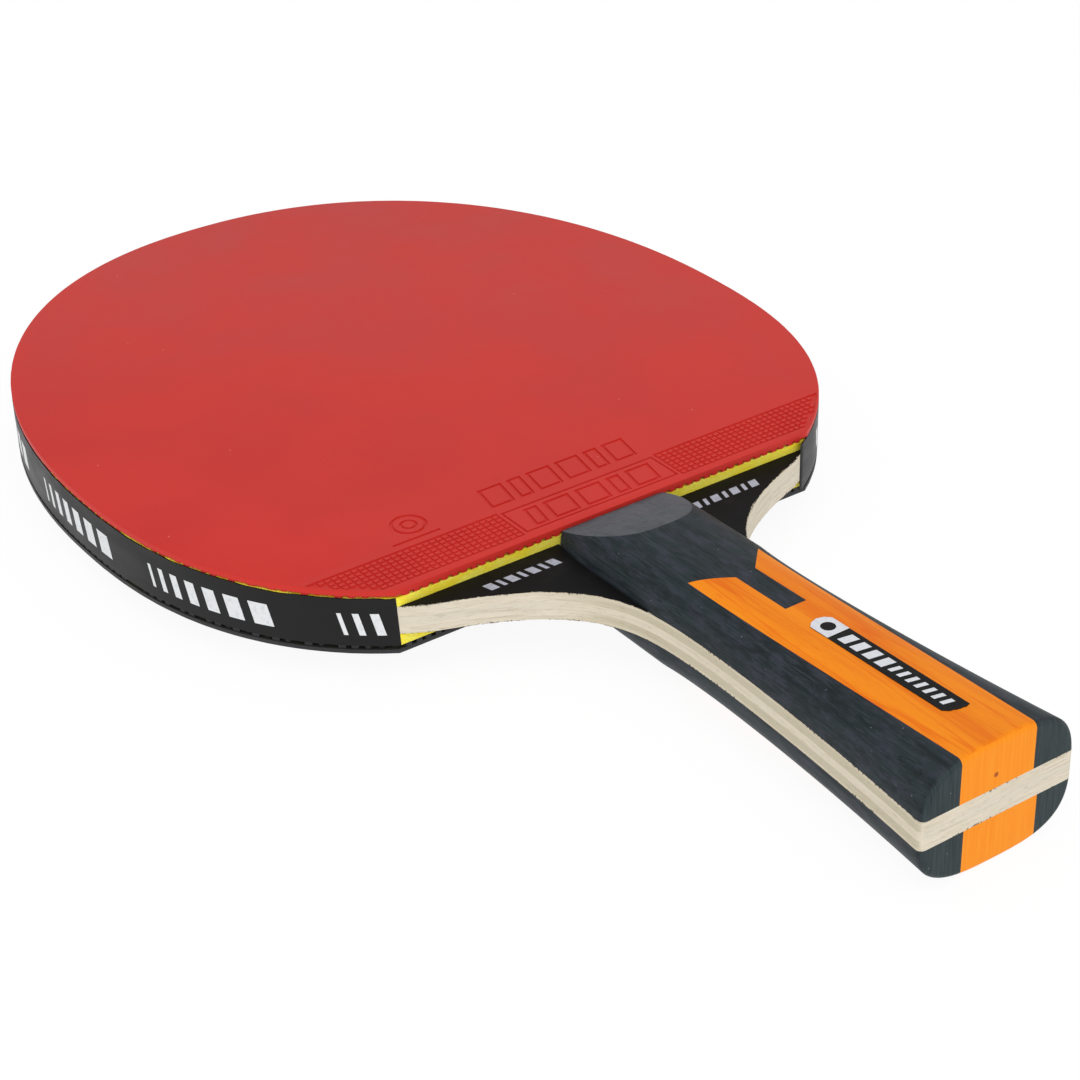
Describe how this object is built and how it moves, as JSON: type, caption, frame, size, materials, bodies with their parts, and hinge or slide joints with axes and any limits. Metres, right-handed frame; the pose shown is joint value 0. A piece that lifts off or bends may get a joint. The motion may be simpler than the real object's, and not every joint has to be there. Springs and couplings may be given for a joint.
{
  "type": "table tennis paddle",
  "caption": "Table tennis paddle with a red and a black pimpled rubber on yellow sponge, a plywood blade with black edge tape, and a flared dark and orange wooden handle.",
  "frame": {"origin": "bottom centre of the bounding box: halfway along the paddle, on its middle plane from side to side, level with the lowest point of the back of the handle", "axes": "+X across the paddle, +Y along the handle towards the tip of the head, +Z square out of the red playing face"},
  "size_m": [0.1516, 0.2596, 0.024],
  "materials": {
    "pale_wood": "sanded bare plywood edge",
    "dark_wood": "satin blue-black stain with the grain showing",
    "orange_wood": "satin orange stain with the grain showing",
    "red_rubber": "matte",
    "black_rubber": "matte",
    "yellow_sponge": "matte fine-celled sponge",
    "edge_tape": "satin woven tape",
    "black_film": "matte",
    "badge": "satin"
  },
  "bodies": {
    "root": {"core_ply": "pale_wood", "inner_ply_front": "pale_wood", "inner_ply_back": "pale_wood", "face_ply_front": "pale_wood", "face_ply_back": "pale_wood", "sponge_front": "yellow_sponge", "sponge_back": "yellow_sponge", "topsheet_front": "red_rubber", "topsheet_back": "black_rubber", "edge_tape": "edge_tape", "shoulder_film_front_left": "black_film", "shoulder_film_front_right": "black_film", "shoulder_film_back_left": "black_film", "shoulder_film_back_right": "black_film", "neck_block_front": "dark_wood", "centre_strip_front": "orange_wood", "side_strip_front_left": "dark_wood", "side_strip_front_right": "dark_wood", "neck_block_back": "dark_wood", "centre_strip_back": "orange_wood", "side_strip_back_left": "dark_wood", "side_strip_back_right": "dark_wood", "badge": "badge"}
  },
  "joints": []
}
